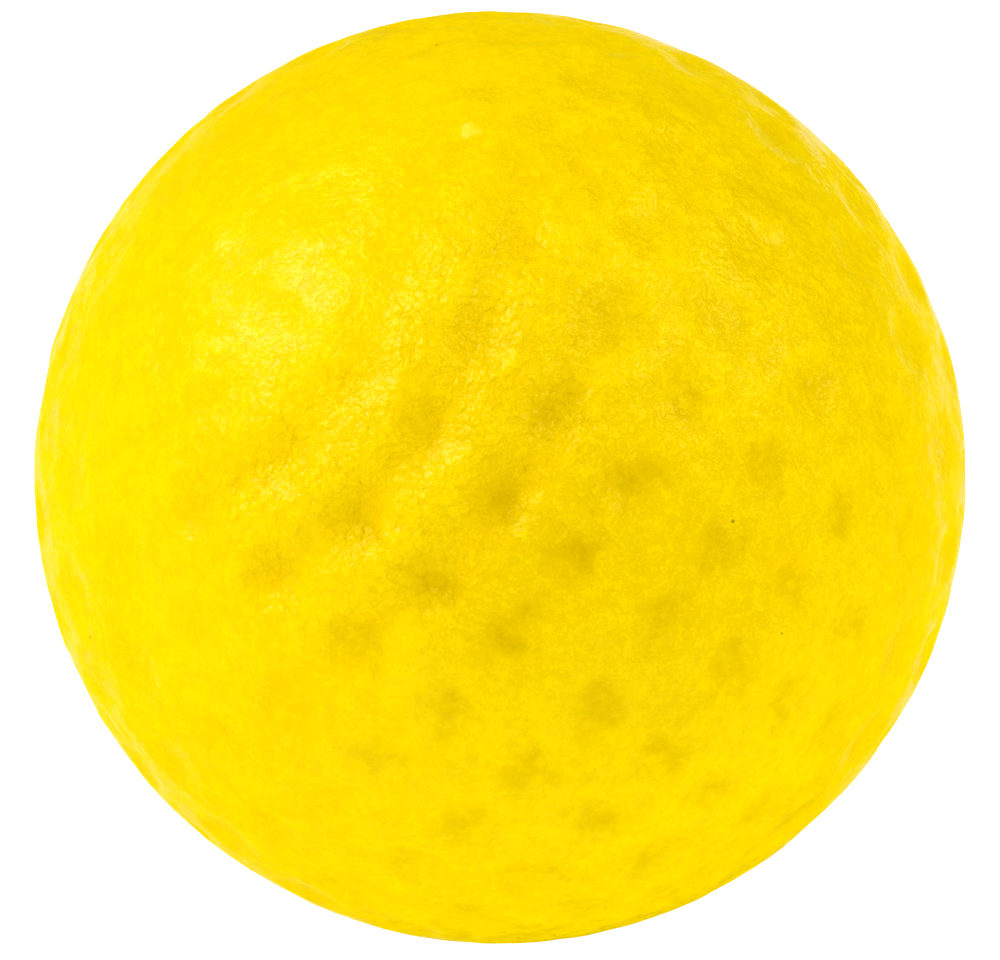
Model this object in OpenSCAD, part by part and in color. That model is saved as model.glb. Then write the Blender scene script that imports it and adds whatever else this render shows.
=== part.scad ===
// Foam practice golf ball: a light cellular core, the denser skin that the foam forms against
// its mould, and a thin colour coat that lines the mould first. The dimples lie in rows on the
// eight faces of a spherical octahedron, with bare bands along three great circles between them.
// The origin is the centre of the ball and +Z is up, with -Y towards the viewer.

/* [Ball] */
// Outside diameter of the ball, over the coat and between the dimples
ball_d = 42.7; // [40:0.1:45]

/* [Layers] */
// Thickness of the colour coat
coat_t = 0.15; // [0.08:0.01:0.3]
// Thickness of the dense foam skin under the coat, between the dimples
skin_t = 1; // [0.8:0.1:2.5]

/* [Dimples] */
// Diameter of one dimple at its rim
dimple_d = 3.4; // [2.6:0.1:3.5]
// Depth of one dimple below the round of the ball
dimple_depth = 0.3; // [0.2:0.02:0.5]
// Number of dimples along each side of a face
dimple_rows = 8; // [6:1:8]
// Distance of the outer rows from the middle of the bare bands, in row spacings
band_gap = 0.6; // [0.5:0.05:0.7]

/* [Lie] */
// Turn of the dimple layout about X, in degrees
lie_x = -2.5; // [-180:0.5:180]
// Turn of the dimple layout about Y, in degrees
lie_y = 40.5; // [-180:0.5:180]
// Turn of the dimple layout about Z, in degrees
lie_z = 8; // [-180:0.5:180]

/* [Hidden] */
$fn = 96;

ball_r = ball_d / 2;
core_r = ball_r - coat_t - skin_t;

// A dimple is the cap of a ball-shaped bowl, whose rim lies on the round of the ball
rim_r = dimple_d / 2;
rim_drop = ball_r - sqrt(ball_r * ball_r - rim_r * rim_r);
bowl_depth = dimple_depth - rim_drop;
bowl_r = (rim_r * rim_r + bowl_depth * bowl_depth) / (2 * bowl_depth);
bowl_at = ball_r - dimple_depth + bowl_r;
// How far a bowl's cutting shape stands past the rim and above the ball
lip = 0.1;

// Directions of the dimples on one face, in a triangle of rows
row_steps = dimple_rows - 1 + 3 * band_gap;
function row_angle(row) = 90 * (row + band_gap) / row_steps;
function unit(v) = v / norm(v);
function face_place(i, j) =
    unit([sin(row_angle(i)), sin(row_angle(j)), sin(row_angle(dimple_rows - 1 - i - j))]);
face_places = [for (i = [0 : dimple_rows - 1], j = [0 : dimple_rows - 1 - i]) face_place(i, j)];

// The other faces mirror the first one across the three bare bands
sides = [for (x = [-1, 1], y = [-1, 1], z = [-1, 1]) [x, y, z]];
dimple_places = [for (s = sides, p = face_places) [s.x * p.x, s.y * p.y, s.z * p.z]];

// One dimple's bowl on the Z axis, closed just above the ball, with a layer of the given depth off
module bowl(depth) {
    rotate_extrude()
        intersection() {
            translate([0, bowl_at]) circle(r = bowl_r + depth);
            translate([0, ball_r - bowl_r]) square([rim_r + lip, bowl_r + lip]);
        }
}

// The dimpled ball with an even layer of the given depth taken off, as the ball lies
module dimpled_ball(depth) {
    rotate([lie_x, lie_y, lie_z])
        difference() {
            sphere(r = ball_r - depth);
            for (place = dimple_places)
                rotate([0, acos(place.z), atan2(place.y, place.x)]) bowl(depth);
        }
}

// Open-cell foam inside
module foam_core() {
    color("khaki") sphere(r = core_r);
}

// Dense skin of the same foam, dimpled outside and round inside
module foam_skin() {
    color("gold")
        difference() {
            dimpled_ball(coat_t);
            sphere(r = core_r);
        }
}

// Even film of colour over the skin
module colour_coat() {
    color("yellow")
        difference() {
            dimpled_ball(0);
            dimpled_ball(coat_t);
        }
}

foam_core();
foam_skin();
colour_coat();
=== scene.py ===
import math

import bpy
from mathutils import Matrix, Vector


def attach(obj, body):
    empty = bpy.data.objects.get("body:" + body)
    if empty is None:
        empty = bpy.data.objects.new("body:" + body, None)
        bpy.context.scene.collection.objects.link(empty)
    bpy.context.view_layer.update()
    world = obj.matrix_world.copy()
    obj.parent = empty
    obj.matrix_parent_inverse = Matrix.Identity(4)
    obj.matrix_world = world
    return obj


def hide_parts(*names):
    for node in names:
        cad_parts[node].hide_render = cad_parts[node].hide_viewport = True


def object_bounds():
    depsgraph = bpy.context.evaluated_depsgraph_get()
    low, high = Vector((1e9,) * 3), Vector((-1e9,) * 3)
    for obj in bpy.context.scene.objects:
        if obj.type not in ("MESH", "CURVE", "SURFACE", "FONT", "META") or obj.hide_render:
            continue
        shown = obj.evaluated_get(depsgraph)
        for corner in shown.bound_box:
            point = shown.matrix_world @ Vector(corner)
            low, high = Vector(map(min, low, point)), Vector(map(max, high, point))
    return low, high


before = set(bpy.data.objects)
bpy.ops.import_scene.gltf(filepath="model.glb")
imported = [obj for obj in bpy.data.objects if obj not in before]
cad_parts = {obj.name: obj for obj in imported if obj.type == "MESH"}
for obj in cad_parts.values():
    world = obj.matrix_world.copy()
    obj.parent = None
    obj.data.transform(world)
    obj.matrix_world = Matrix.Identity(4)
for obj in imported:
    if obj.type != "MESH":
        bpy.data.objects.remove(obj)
cadLow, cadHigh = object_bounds()
ballRadius = max(cadHigh - cadLow) / 2
ballCentre = (cadLow + cadHigh) / 2
print(f"frame loaded, ball radius {ballRadius * 1000:.2f} mm")


class Wire:  # one output in a node tree; arithmetic on it adds the Math nodes
    def __init__(self, tree, socket=None):
        self.tree, self.socket = tree, socket

    # any node: its type, its settings, then the values or links of its sockets
    def add(self, kind, settings=None, inputs=None, output=0):
        node = self.tree.nodes.new(kind)
        for name, value in (settings or {}).items():
            setattr(node, name, value)
        for name, value in (inputs or {}).items():
            if isinstance(value, Wire):
                self.tree.links.new(value.socket, node.inputs[name])
            else:
                node.inputs[name].default_value = value
        return Wire(self.tree, node.outputs[output]) if node.outputs else None

    def math(self, operation, *others):
        return self.add("ShaderNodeMath", {"operation": operation}, dict(enumerate((self, *others))))

    def vector(self, operation, other, output="Vector"):
        key = "Scale" if operation == "SCALE" else 1
        return self.add("ShaderNodeVectorMath", {"operation": operation}, {0: self, key: other}, output)

    def unit(self):
        return self.add("ShaderNodeVectorMath", {"operation": "NORMALIZE"}, {0: self})

    # soft step from 0 at low to 1 at high
    def step(self, low, high):
        return self.add("ShaderNodeMapRange", {"interpolation_type": "SMOOTHSTEP"},
                        {"Value": self, "From Min": low, "From Max": high})

    # a mask read as a share that goes from low to high
    def between(self, low, high):
        return self * (high - low) + low

    def noise(self, wave, detail=2.0, roughness=0.5, distortion=0.0, output=0):
        return self.add("ShaderNodeTexNoise", {}, {"Vector": self, "Scale": 1 / wave, "Detail": detail,
                                                   "Roughness": roughness, "Distortion": distortion}, output)

    # a noise that swings about zero
    def centred(self):
        return self - 0.5

    def cells(self, size):
        return self.add("ShaderNodeTexVoronoi", {}, {"Vector": self, "Scale": 1 / size}, "Distance")

    # keeps a value on the points of a shape
    def store(self, name, value, kind="FLOAT"):
        return self.add("GeometryNodeStoreNamedAttribute", {"data_type": kind, "domain": "POINT"},
                        {"Geometry": self, "Name": name, "Value": value})

    def __add__(self, other):
        return self.math("ADD", other)

    def __mul__(self, other):
        return self.math("MULTIPLY", other)

    def __sub__(self, other):
        return self.math("SUBTRACT", other)

    def __rsub__(self, other):
        return self.add("ShaderNodeMath", {"operation": "SUBTRACT"}, {0: other, 1: self})

    def __truediv__(self, other):
        return self.math("DIVIDE", other)

    def __rtruediv__(self, other):
        return self.add("ShaderNodeMath", {"operation": "DIVIDE"}, {0: other, 1: self})

    def __pow__(self, other):
        return self.math("POWER", other)

    def __mod__(self, other):
        return self.math("MODULO", other)

    __radd__, __rmul__ = __add__, __mul__


# Camera
shot = {
    "elevation": 20,  # in degrees
    "distance": 8.5,  # from the ball's centre, in ball radii
    "imageSize": (1000, 960),
    "ballAcross": 932,  # outline in the picture, in pixels
    "ballAt": (500, 477.2),
    "sensor": 36,
    "clip": (0.01, 100),
}
tilt = math.radians(shot["elevation"])
right = Vector((1, 0, 0))
up = Vector((0, math.sin(tilt), math.cos(tilt)))
back = Vector((0, -math.cos(tilt), math.sin(tilt)))  # from the ball towards the camera


def seen(x, y, z):  # a direction given as the camera sees it
    return right * x + up * y + back * z


camera = bpy.data.cameras.new("camera")
cameraObject = bpy.data.objects.new("camera", camera)
bpy.context.collection.objects.link(cameraObject)
cameraObject.location = ballCentre + back * ballRadius * shot["distance"]
cameraObject.rotation_euler = back.to_track_quat("Z", "Y").to_euler()
imageWide, imageHigh = shot["imageSize"]
focal = shot["ballAcross"] / 2 * math.sqrt(shot["distance"] ** 2 - 1)  # in pixels
camera.sensor_width = shot["sensor"]
camera.lens = focal * camera.sensor_width / imageWide
camera.shift_x = (imageWide / 2 - shot["ballAt"][0]) / imageWide
camera.shift_y = (shot["ballAt"][1] - imageHigh / 2) / imageWide
camera.clip_start, camera.clip_end = shot["clip"]
bpy.context.scene.camera = cameraObject
print("camera set")


# gives a tree its named inputs and one geometry output
def inputsOf(tree, kinds, result):
    for name, kind in kinds.items():
        tree.interface.new_socket(name=name, in_out="INPUT", socket_type="NodeSocket" + kind)
    tree.interface.new_socket(name=result, in_out="OUTPUT", socket_type="NodeSocketGeometry")
    given = tree.nodes.new("NodeGroupInput")
    return Wire(tree), {name: Wire(tree, given.outputs[name]) for name in kinds}


def finishTree(shape, finish, result):
    shape = shape.add("GeometryNodeSetShadeSmooth", {}, {"Geometry": shape})
    shape = shape.add("GeometryNodeRealizeInstances", {}, {"Geometry": shape})
    shape = shape.add("GeometryNodeSetMaterial", {}, {"Geometry": shape, "Material": finish})
    shape.add("NodeGroupOutput", {}, {result: shape})


# runs a tree with its sizes and keeps the result as a plain mesh piece
def grow(name, tree, sizes):
    holder = bpy.data.objects.new(name + "Holder", bpy.data.meshes.new(name + "Holder"))
    bpy.context.collection.objects.link(holder)
    modifier = holder.modifiers.new("layer", "NODES")
    modifier.node_group = tree
    for item in tree.interface.items_tree:
        if item.in_out == "INPUT" and item.name in sizes:
            modifier[item.identifier] = sizes[item.name]
    graph = bpy.context.evaluated_depsgraph_get()
    mesh = bpy.data.meshes.new_from_object(holder.evaluated_get(graph), depsgraph=graph)
    mesh.name = name
    bpy.data.objects.remove(holder)
    piece = bpy.data.objects.new(name, mesh)
    bpy.context.collection.objects.link(piece)
    print(f"{name}: {len(mesh.polygons)} faces")
    return piece


def soften(piece, node):  # a foam piece on the one body
    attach(piece, "root")
    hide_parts(node)


def newMaterial(name):
    material = bpy.data.materials.new(name)
    material.use_nodes = True
    material.node_tree.nodes.clear()
    return material, Wire(material.node_tree)


def blend(factor, first, second):
    return factor.add("ShaderNodeMix", {"data_type": "RGBA"},
                      {"Factor": factor, "A": first, "B": second}, "Result")


# Dimpled layers: the coat and the skin under it come from the same tree
dimples = {
    "Ball Radius": ballRadius,
    "Rows": 8,  # along each side of a face of the octahedron
    "Band Gap": 0.6,  # outer rows from the bare bands, in row spacings
    "Dimple Width": 0.0034,
    "Dimple Depth": 0.0003,
    "Depth Spread": 0.25,
    "Fold Depth": 0.00032,
    "Fold Width": 0.0044,
    "Swell Height": 0.00006,
    "Pucker Height": 0.00013,
    # painted shade: how far the dark spots drift from the dimples, and the side where they and a broad
    # darkening are strongest
    "Shade Drift": 0.004,
    "Shaded Side": seen(0.27, -0.29, 0.917),
    "Fresh Side": seen(-0.5, 0.5, 0.7),
    "Folded Side": seen(-0.21, 0.12, 0.97),
    "Lie": (math.radians(-2.5), math.radians(40.5), math.radians(8)),
    "Seed": 28907,
}
moulding = {  # how the soft foam departs from a regular layout; a span is cosines from a side's middle
    "bowlRim": 0.35,
    "foldedSpan": (0.8, 0.97),
    "tautSpan": (0.85, 0.98),  # the fresh side has no folds
    "freshSpan": (0.75, 0.95),
    "freshLoss": 0.75,  # share of a dimple's depth
    "foldedGain": 0.6,  # share of a dimple's depth
    "foldPower": 1.7,
    "bowlShade": 0.3,
    "swell": (0.009, 1.0),  # wave length, then the noise's detail, roughness and distortion
    "pucker": (0.0018, 1.0, 0.5, 0.4),
}
# painted shade: dark spots in the dimples and a broad darkening, strongest where the light is weakest
paintedShade = {
    "drift": (1 / 700, 3.0, 0.6),
    "shadedSpan": (0.7, 0.93),
    "shadedShare": 0.66,
    "strays": (0.012, 1.0),
    "straySpan": (0.35, 0.7),
    "strayShare": 0.15,
    "leastShare": 0.15,
    "freshLoss": 0.9,
    "weakest": 0.7,  # of the single spots of painted shade
    "broadShadeSpan": (0.88, 0.99),
    "broadShadeShare": 0.16,
}


def dimpledTree():
    tree = bpy.data.node_groups.new("dimpledLayer", "GeometryNodeTree")
    kinds = {"Ball Radius": "Float", "Outer Depth": "Float", "Inner Depth": "Float",
             "Inner Dimples": "Float", "Outer Steps": "Int", "Inner Steps": "Int",
             "Swell Height": "Float", "Pucker Height": "Float",
             "Rows": "Int", "Band Gap": "Float", "Dimple Width": "Float", "Dimple Depth": "Float",
             "Depth Spread": "Float", "Shade Drift": "Float", "Fold Depth": "Float", "Fold Width": "Float",
             "Shaded Side": "Vector", "Fresh Side": "Vector", "Folded Side": "Vector",
             "Lie": "Vector", "Seed": "Int", "Finish": "Material"}
    root, size = inputsOf(tree, kinds, "Layer")
    rows, gap, faceCount = size["Rows"], size["Band Gap"], 8

    # one point for each dimple, in triangles of rows on the faces of an octahedron
    index = root.add("GeometryNodeInputIndex")
    i = index % rows
    j = (index / rows).math("FLOOR") % rows
    k = rows - 1 - i - j
    side = (index / (rows * rows)).math("FLOOR")
    signs = (1 - (side % 2) * 2, 1 - ((side / 2).math("FLOOR") % 2) * 2, 1 - (side / 4).math("FLOOR") * 2)
    turn = (math.pi / 2) / (rows - 1 + gap * 3)
    axes = [((row + gap) * turn).math("SINE") * sign for row, sign in zip((i, j, k), signs)]
    direction = root.add("ShaderNodeCombineXYZ", {}, dict(enumerate(axes))).unit()
    direction = direction.add("ShaderNodeVectorRotate", {"rotation_type": "EULER_XYZ"},
                              {"Vector": direction, "Rotation": size["Lie"]})
    places = root.add("GeometryNodePoints", {}, {"Count": rows * rows * faceCount,
                                                 "Position": direction.vector("SCALE", size["Ball Radius"])})
    places = places.store("row", i + (side % 4) * rows, "INT")
    places = places.store("along", (k + gap) * signs[2])
    places = places.add("GeometryNodeDeleteGeometry", {"domain": "POINT"},
                        {"Geometry": places, "Selection": k.math("LESS_THAN", -0.5)})
    row = root.add("GeometryNodeInputNamedAttribute", {"data_type": "INT"}, {"Name": "row"})
    along = root.add("GeometryNodeInputNamedAttribute", {"data_type": "FLOAT"}, {"Name": "along"})
    lines = root.add("GeometryNodePointsToCurves", {}, {0: places, "Curve Group ID": row, "Weight": along})
    lines = lines.add("GeometryNodeCurveToMesh", {}, {"Curve": lines})

    outward = root.add("GeometryNodeInputPosition").unit()
    onBall = outward.vector("SCALE", size["Ball Radius"])

    def distanceTo(shape, element, start):
        return root.add("GeometryNodeProximity", {"target_element": element},
                        {0: shape, "Sample Position": start}, "Distance")

    # distance to the nearest dimple shapes a soft bowl, each a little deeper or shallower than the next
    nearest = root.add("GeometryNodeSampleNearest", {"domain": "POINT"},
                       {0: places, "Sample Position": onBall})
    luck = root.add("FunctionNodeRandomValue", {"data_type": "FLOAT"},
                    {"ID": nearest, "Seed": size["Seed"]}, 1)
    share = distanceTo(places, "POINTS", onBall) / (size["Dimple Width"] * 0.5)
    bowl = (1 - share * share).math("SMOOTH_MAX", 0.0, moulding["bowlRim"])
    leastLit, fresh, folded = [outward.vector("DOT_PRODUCT", size[name], "Value")
                           for name in ("Shaded Side", "Fresh Side", "Folded Side")]
    folded = folded.step(*moulding["foldedSpan"]) * (1 - fresh.step(*moulding["tautSpan"]))
    fresh = fresh.step(*moulding["freshSpan"])
    depth = 1 - luck * size["Depth Spread"]
    depth = depth * (1 - fresh * moulding["freshLoss"]) * (1 + folded * moulding["foldedGain"])

    # folds join the dimples of a row into a trough
    astray = (distanceTo(lines, "EDGES", onBall) / (size["Fold Width"] * 0.5)).math("MINIMUM", 1.0)
    trough = (astray * math.pi).math("COSINE") * 0.5 + 0.5
    trough = trough ** moulding["foldPower"] * folded
    dip = bowl * depth * size["Dimple Depth"] + trough * size["Fold Depth"]
    # painted shade for the coat: the troughs, and the dimple bowls off the fresh side
    hollow = trough + bowl * (1 - fresh) * moulding["bowlShade"]

    # painted shade: dark spots drift a little from the dimples, and are strongest on the side where the
    # light is weakest
    drift = onBall.noise(*paintedShade["drift"], output=1)
    drift = drift.vector("SUBTRACT", (0.5, 0.5, 0.5)).vector("SCALE", size["Shade Drift"])
    strayed = distanceTo(places, "POINTS", onBall.vector("ADD", drift))
    strays = onBall.noise(*paintedShade["strays"]).step(*paintedShade["straySpan"])
    shadeStrength = leastLit.step(*paintedShade["shadedSpan"]) * paintedShade["shadedShare"] + strays * paintedShade["strayShare"]
    shadeStrength = (shadeStrength + paintedShade["leastShare"]) * (1 - fresh * paintedShade["freshLoss"])
    dimpleShade = 1 - strayed.step(0.0, size["Dimple Width"] * 0.5)
    dimpleShade = dimpleShade * luck.between(paintedShade["weakest"], 1.0) * shadeStrength
    # a broad painted shade over the same side
    dimpleShade = dimpleShade + leastLit.step(*paintedShade["broadShadeSpan"]) * paintedShade["broadShadeShare"]

    # slow swells and small puckers of moulded foam
    swell = onBall.noise(*moulding["swell"]).centred() * size["Swell Height"]
    pucker = onBall.noise(*moulding["pucker"]).centred() * size["Pucker Height"]

    def face(steps, under, relief):
        ball = root.add("GeometryNodeMeshIcoSphere", {},
                        {"Radius": size["Ball Radius"], "Subdivisions": steps})
        radius = size["Ball Radius"] - under + (swell + pucker - dip) * relief
        return ball.add("GeometryNodeSetPosition", {},
                        {"Geometry": ball, "Position": outward.vector("SCALE", radius)})

    outer = face(size["Outer Steps"], size["Outer Depth"], 1.0)
    inner = face(size["Inner Steps"], size["Inner Depth"], size["Inner Dimples"])
    inner = inner.add("GeometryNodeFlipFaces", {}, {"Mesh": inner})
    layer = root.add("GeometryNodeJoinGeometry", {}, {0: outer})
    tree.links.new(inner.socket, layer.socket.node.inputs[0])
    # the dimple spots and the hollows carry painted shade to the coat's colour
    for name, value in (("dimpleShade", dimpleShade), ("hollow", hollow), ("fresh", fresh), ("fold", folded)):
        layer = layer.store(name, value)
    finishTree(layer, size["Finish"], "Layer")
    return tree


# Colour coat
coat = {
    "thickness": 0.00015,
    "outerSteps": 8,
    "innerSteps": 6,
    "lemon": (0.925, 0.66, 0.0, 1),
    "golden": (0.862, 0.59, 0.0, 1),
    # the next three colours are painted shade: for the hollows and bubbles' sides, the spots in the dimples
    # and the creases
    "shadeAmber": (0.86, 0.51, 0.0, 1),
    "shadeOlive": (0.68, 0.44, 0.0, 1),
    "crease": (0.785, 0.515, 0.0, 1),
    "speck": (0.36, 0.24, 0.03, 1),
    # a pale painted glint
    "glint": (0.97, 0.8, 0.17, 1),
    # noises: wave length, detail, roughness, distortion
    "clouds": (0.007, 2.0),
    "grain": (0.0012, 4.0, 0.9),
    "ripples": (0.00036, 2.0, 0.65),
    "wrinkles": (0.0014, 2.0, 0.6, 0.5),
    "patches": (0.0024, 4.0, 0.7, 0.5),
    "patchSpan": (0.38, 0.6),
    "veinWidth": 0.07,
    "bubbleSize": 0.00044,
    "wrinkledSide": seen(0.3, 0.3, 0.9),
    "wrinkledSpan": (0.6, 0.95),
    # shares of golden over lemon, where the ripples and vein lines add painted shade; a pair is for the calm
    # and the wrinkled side
    "cloudShare": 1.6,
    "grainShare": (5.5, 8.25),
    "rippleShare": (2.6, 5.98),
    "veinShare": (0.5, 1.7),
    "veinLevel": 0.7,
    "patchShare": (0.7, 1.0),
    # shares of the painted-shade colours, then of the dark specks and the painted glint
    "hollowAmber": 0.2,
    "bubbleAmber": 0.12,
    "bubbleSpan": (0.3, 0.7),
    "veinCrease": 0.33,
    "wrinkleCrease": 0.35,
    "creaseSpan": (0.38, 0.58),
    "dimpleShadeLevel": 0.85,
    "dimpleShadeGrain": 1.6,
    "speckSpacing": 0.004,
    "speckSpan": (0.013, 0.028),
    # place, size and ragged edge of the pale painted glint
    "glintAt": seen(-0.064, 0.686, 0.725) * ballRadius,
    "glintSize": 0.0006,
    "glintRagged": 3,
    "glintSpan": (0.2, 1.0),
    "glintShare": 0.6,
    # relief; a pair is for the calm and the wrinkled side
    "bubbleHeight": 0.00012,
    "bubbleLeast": 0.3,  # between the patches
    "rippleHeight": (0.000055, 0.000099),
    "wrinkleHeight": (0.00011, 0.000209),
    "freshLoss": 0.55,
    "matteRipple": (0.4, 1.0),
    "matteWrinkle": 0.7,
    "gloss": 0.95,
    "glossLeast": 0.35,  # between the patches
    "veinGloss": 0.4,
    "glossRoughness": 0.38,
    "matteRoughness": 0.6,
    "specular": 0.74,
}


def coatMaterial():
    material, root = newMaterial("yellowCoat")
    place = root.add("ShaderNodeTexCoord", output="Object")
    dimpleShade, hollow, fresh, fold = [root.add("ShaderNodeAttribute", {"attribute_name": name}, output="Fac")
                                   for name in ("dimpleShade", "hollow", "fresh", "fold")]
    wrinkled = place.vector("DOT_PRODUCT", coat["wrinkledSide"] / ballRadius, "Value")
    wrinkled = wrinkled.step(*coat["wrinkledSpan"])
    clouds, grain, ripples, wrinkles, patches = [place.noise(*coat[name]) for name in
                                                 ("clouds", "grain", "ripples", "wrinkles", "patches")]
    patches = patches.step(*coat["patchSpan"])
    vein = ripples.centred().math("ABSOLUTE").step(0.0, coat["veinWidth"])  # thin curling lines
    bubble = place.cells(coat["bubbleSize"])

    # lemon and golden mix in clouds, grain and patches; ripples add painted shade in their hollows and
    # painted light on their crests, and thin vein lines add painted shade
    mottle = clouds.centred() * coat["cloudShare"] + grain.centred() * wrinkled.between(*coat["grainShare"])
    mottle = mottle - ripples.centred() * wrinkled.between(*coat["rippleShare"])
    mottle = mottle + (coat["veinLevel"] - vein) * wrinkled.between(*coat["veinShare"])
    mottle = mottle + (0.5 - patches) * wrinkled.between(*coat["patchShare"])
    colour = blend(mottle + 0.5, coat["lemon"], coat["golden"])
    # painted shade: deeper orange in the hollows and on the bubbles' sides, darker creases and dark spots in
    # the dimples; then single dark specks and a pale painted glint
    shaded = bubble.step(*coat["bubbleSpan"]) * fold
    colour = blend(hollow * coat["hollowAmber"] + shaded * coat["bubbleAmber"], colour, coat["shadeAmber"])
    # painted shade along the thin vein lines and in the wrinkles' furrows
    furrow = 1 - wrinkles.step(*coat["creaseSpan"])
    creased = ((1 - vein) * coat["veinCrease"] + furrow * coat["wrinkleCrease"]) * wrinkled
    colour = blend(creased, colour, coat["crease"])
    dimpleShaded = dimpleShade * (grain.centred() * coat["dimpleShadeGrain"] + coat["dimpleShadeLevel"])
    colour = blend(dimpleShaded, colour, coat["shadeOlive"])
    colour = blend(1 - place.cells(coat["speckSpacing"]).step(*coat["speckSpan"]), colour, coat["speck"])
    # a painted glint: a pale ragged spot of light near the top
    away = place.vector("DISTANCE", coat["glintAt"], "Value") / coat["glintSize"]
    glinted = 1 - (away + ripples.centred() * coat["glintRagged"]).step(*coat["glintSpan"])
    colour = blend(glinted * coat["glintShare"], colour, coat["glint"])

    # fine ripples and wrinkles all over, and foam cells that show through the folds as small bubbles
    bubbles = (1 - bubble * bubble) * fold * patches.between(coat["bubbleLeast"], 1.0) * coat["bubbleHeight"]
    rippled = ripples * wrinkled.between(*coat["rippleHeight"])
    creases = wrinkles * wrinkled.between(*coat["wrinkleHeight"]) * (1 - fresh * coat["freshLoss"])
    soft = bubbles + rippled * wrinkled.between(*coat["matteRipple"]) + creases * coat["matteWrinkle"]
    softBump, fullBump = [root.add("ShaderNodeBump", {},
                                   {"Strength": 1.0, "Distance": 1.0, "Height": height})
                          for height in (soft, bubbles + rippled + creases)]

    # gloss in patches over a matte coat
    gloss = patches.math("MAXIMUM", fold).between(coat["glossLeast"], 1.0) * coat["gloss"]
    gloss = gloss * vein.between(coat["veinGloss"], 1.0)
    matte = root.add("ShaderNodeBsdfPrincipled", {},
                     {"Base Color": colour, "Roughness": coat["matteRoughness"],
                      "Specular IOR Level": 0.0, "Normal": softBump})
    shiny = root.add("ShaderNodeBsdfPrincipled", {},
                     {"Base Color": colour, "Roughness": coat["glossRoughness"],
                      "Specular IOR Level": coat["specular"], "Normal": fullBump})
    surface = root.add("ShaderNodeMixShader", {}, {0: gloss, 1: matte, 2: shiny})
    root.add("ShaderNodeOutputMaterial", {}, {"Surface": surface})
    return material


layers = dimpledTree()
coatPiece = grow("yellow_coat", layers, {**dimples, "Outer Depth": 0.0, "Inner Depth": coat["thickness"],
                                         "Inner Dimples": 1.0, "Outer Steps": coat["outerSteps"],
                                         "Inner Steps": coat["innerSteps"], "Finish": coatMaterial()})
soften(coatPiece, "colour_coat")


# Dense skin and light core, both foam
foam = {
    "skinThickness": 0.001,
    "skinSteps": 6,
    "skinCream": (0.90, 0.68, 0.12, 1),
    "skinAmber": (0.80, 0.54, 0.05, 1),
    "skinCell": 0.0004,
    "skinBump": 0.00008,
    "coreSteps": 7,
    "coreCream": (0.88, 0.78, 0.38, 1),
    "coreHollow": (0.62, 0.47, 0.14, 1),
    "coreCell": 0.0013,
    "coreCellDepth": 0.0004,
    "coreBump": 0.0002,
    "wallSpan": (0.1, 0.75),  # from a cell's middle to its wall
    "hollowShade": 0.7,
    "cloudCells": 8,  # width of a shaded cloud, in cells
    "cloudShade": 0.8,
    "bumpStrength": 0.8,
    "roughness": (0.8, 0.9),  # walls, hollows
    "specular": 0.2,
}


def foamMaterial(name, light, dark, cell, height):
    material, root = newMaterial(name)
    place = root.add("ShaderNodeTexCoord", output="Object")
    wall = place.cells(cell).step(*foam["wallSpan"])  # cell walls stand proud of the cells
    clouds = place.noise(cell * foam["cloudCells"], 3.0).centred()
    # painted shade darkens the cell hollows; the clouds vary the tone at random
    colour = blend((1 - wall) * foam["hollowShade"] + clouds * foam["cloudShade"], light, dark)
    bump = root.add("ShaderNodeBump", {},
                    {"Strength": foam["bumpStrength"], "Distance": 1.0, "Height": wall * height})
    roughness = (1 - wall).between(*foam["roughness"])
    surface = root.add("ShaderNodeBsdfPrincipled", {},
                       {"Base Color": colour, "Roughness": roughness,
                        "Specular IOR Level": foam["specular"], "Normal": bump})
    root.add("ShaderNodeOutputMaterial", {}, {"Surface": surface})
    return material


def coreTree():
    tree = bpy.data.node_groups.new("openCellCore", "GeometryNodeTree")
    kinds = {"Core Radius": "Float", "Steps": "Int", "Cell Size": "Float", "Cell Depth": "Float",
             "Finish": "Material"}
    root, size = inputsOf(tree, kinds, "Core")
    ball = root.add("GeometryNodeMeshIcoSphere", {},
                    {"Radius": size["Core Radius"], "Subdivisions": size["Steps"]})
    outward = root.add("GeometryNodeInputPosition").unit()
    inCells = outward.vector("SCALE", size["Core Radius"] / size["Cell Size"])
    hollow = 1 - inCells.cells(1.0).step(*foam["wallSpan"])
    radius = size["Core Radius"] - hollow * size["Cell Depth"]
    core = ball.add("GeometryNodeSetPosition", {},
                    {"Geometry": ball, "Position": outward.vector("SCALE", radius)})
    finishTree(core, size["Finish"], "Core")
    return tree


skinDepth = coat["thickness"] + foam["skinThickness"]
skinFoam = foamMaterial("skinFoam", foam["skinCream"], foam["skinAmber"],
                        foam["skinCell"], foam["skinBump"])
skinPiece = grow("skin_foam", layers, {**dimples, "Outer Depth": coat["thickness"], "Inner Depth": skinDepth,
                                       "Inner Dimples": 0.0, "Outer Steps": foam["skinSteps"],
                                       "Inner Steps": foam["skinSteps"], "Finish": skinFoam})
soften(skinPiece, "foam_skin")
coreFoam = foamMaterial("coreFoam", foam["coreCream"], foam["coreHollow"],
                        foam["coreCell"], foam["coreBump"])
corePiece = grow("core_foam", coreTree(), {"Core Radius": ballRadius - skinDepth, "Steps": foam["coreSteps"],
                                           "Cell Size": foam["coreCell"],
                                           "Cell Depth": foam["coreCellDepth"], "Finish": coreFoam})
soften(corePiece, "foam_core")


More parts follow.
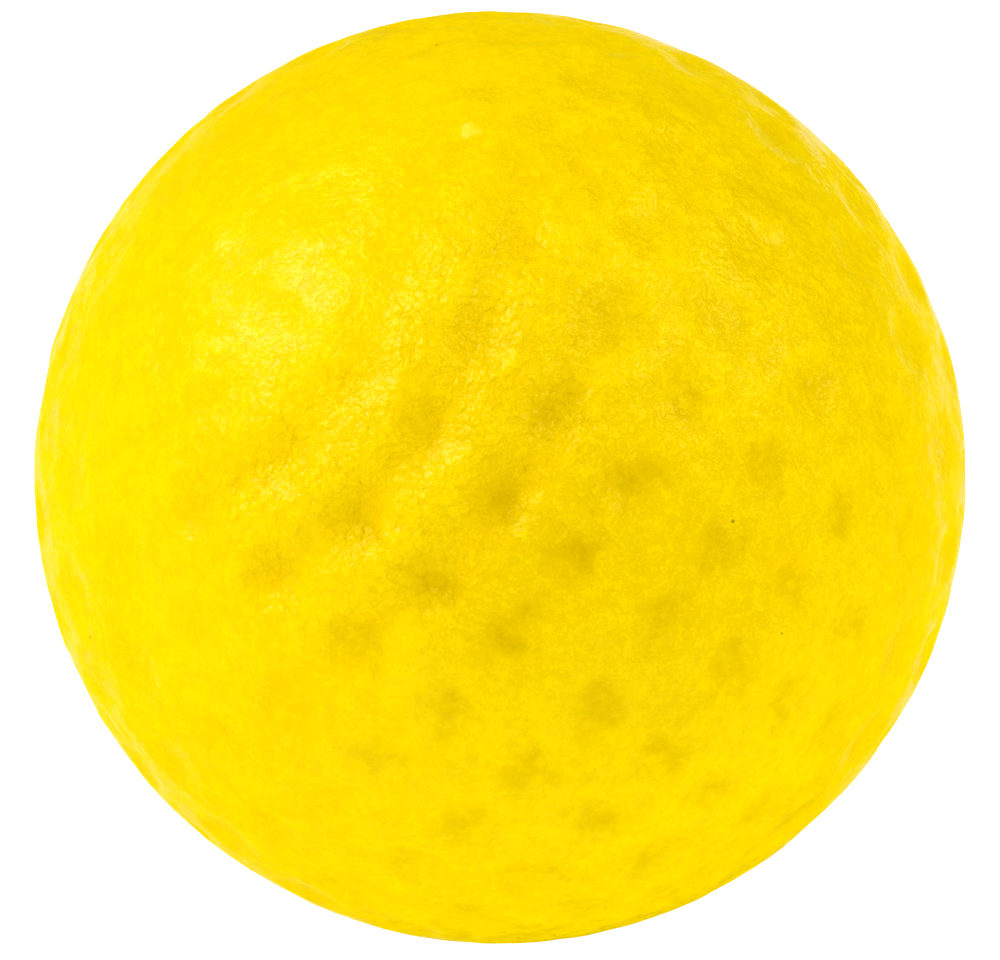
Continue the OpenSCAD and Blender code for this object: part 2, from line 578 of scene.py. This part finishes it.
# Pale floor that glows, a little darker under the ball
studio = {
    "floorReach": 400,  # in ball radii, as are the next two
    "contactFrom": 0.3,
    "contactTo": 1.1,
    "contactShade": 0.76,  # share of the floor's glow left under the ball
    "floorGlow": 1.5,
    "worldGlow": 0.49,
    "exposure": -0.03,
    # a camera records vivid yellow with almost no blue, so blue rises slowly from black
    "blueCurve": ((0.05, 0.002), (0.09, 0.011), (0.125, 0.036), (0.165, 0.075), (0.25, 0.17)),
}
floorMesh = bpy.data.meshes.new("floor")
reach = ballRadius * studio["floorReach"]
floorMesh.from_pydata([(-reach, -reach, cadLow.z), (reach, -reach, cadLow.z), (reach, reach, cadLow.z),
                       (-reach, reach, cadLow.z)], [], [(0, 1, 2, 3)])
floor = bpy.data.objects.new("floor", floorMesh)
bpy.context.collection.objects.link(floor)
floorMaterial, floorRoot = newMaterial("paleFloor")
underBall = (ballCentre.x, ballCentre.y, cadLow.z)
fromBall = floorRoot.add("ShaderNodeTexCoord", output="Object").vector("DISTANCE", underBall, "Value")
inTheOpen = fromBall.step(ballRadius * studio["contactFrom"], ballRadius * studio["contactTo"])
tint = blend(inTheOpen, [studio["contactShade"]] * 3 + [1], (1, 1, 1, 1))
glow = floorRoot.add("ShaderNodeEmission", {}, {"Color": tint, "Strength": studio["floorGlow"]})
floorRoot.add("ShaderNodeOutputMaterial", {}, {"Surface": glow})
floorMesh.materials.append(floorMaterial)
floor.visible_glossy = floor.visible_shadow = False
print("floor laid")

world = bpy.data.worlds.new("studio")
bpy.context.scene.world = world
world.use_nodes = True
world.node_tree.nodes["Background"].inputs["Color"].default_value = (1, 1, 1, 1)
world.node_tree.nodes["Background"].inputs["Strength"].default_value = studio["worldGlow"]
world.cycles_visibility.glossy = False

# Soft round panels: direction from the ball, half angle in degrees, and what each adds to a face
# that is turned to it
panelDistance = 0.3
mainPanels = {
    "keyPanel": (seen(-0.705, 0.6, 0.38), 22, 0.525),
    "rightPanel": (seen(0.735, 0.515, 0.44), 18, 0.3),
}
fillPanels = {  # these don't show in the gloss
    "topFill": (seen(0.1, 0.97, -0.15), 30, 0.015),
    "frontFill": (seen(0.05, 0.57, 0.82), 25, 0.12),
    "backFill": (seen(0, 0.1, -0.995), 35, 0.22),
    "leftFill": (seen(-0.85, -0.45, 0.28), 30, 0.075),
    "rightFill": (seen(0.85, -0.45, 0.2), 30, 0.07),
}
rimPanels = {  # these show only in the gloss
    "leftRim": (seen(-0.43, -0.06, -0.9), 30, 0.26),
    "rightRim": (seen(0.38, 0.12, -0.917), 27, 0.28),
    "topRim": (seen(-0.05, 0.52, -0.85), 33, 0.09),
}
for name, (direction, spread, share) in {**mainPanels, **fillPanels, **rimPanels}.items():
    light = bpy.data.lights.new(name, "AREA")
    light.shape = "DISK"
    light.size = 2 * panelDistance * math.tan(math.radians(spread))
    light.energy = share / math.sin(math.radians(spread)) ** 2 * math.pi * math.pi * (light.size / 2) ** 2
    lamp = bpy.data.objects.new(name, light)
    bpy.context.collection.objects.link(lamp)
    aim = direction.normalized()
    lamp.location = ballCentre + aim * panelDistance
    lamp.rotation_euler = aim.to_track_quat("Z", "Y").to_euler()
    lamp.visible_camera = False
    lamp.visible_glossy, lamp.visible_diffuse = name not in fillPanels, name not in rimPanels
print("lights set")

view = bpy.context.scene.view_settings
view.view_transform = "Standard"
view.exposure = studio["exposure"]
view.use_curve_mapping = True
for level in studio["blueCurve"]:
    view.curve_mapping.curves[2].points.new(*level)
view.curve_mapping.update()
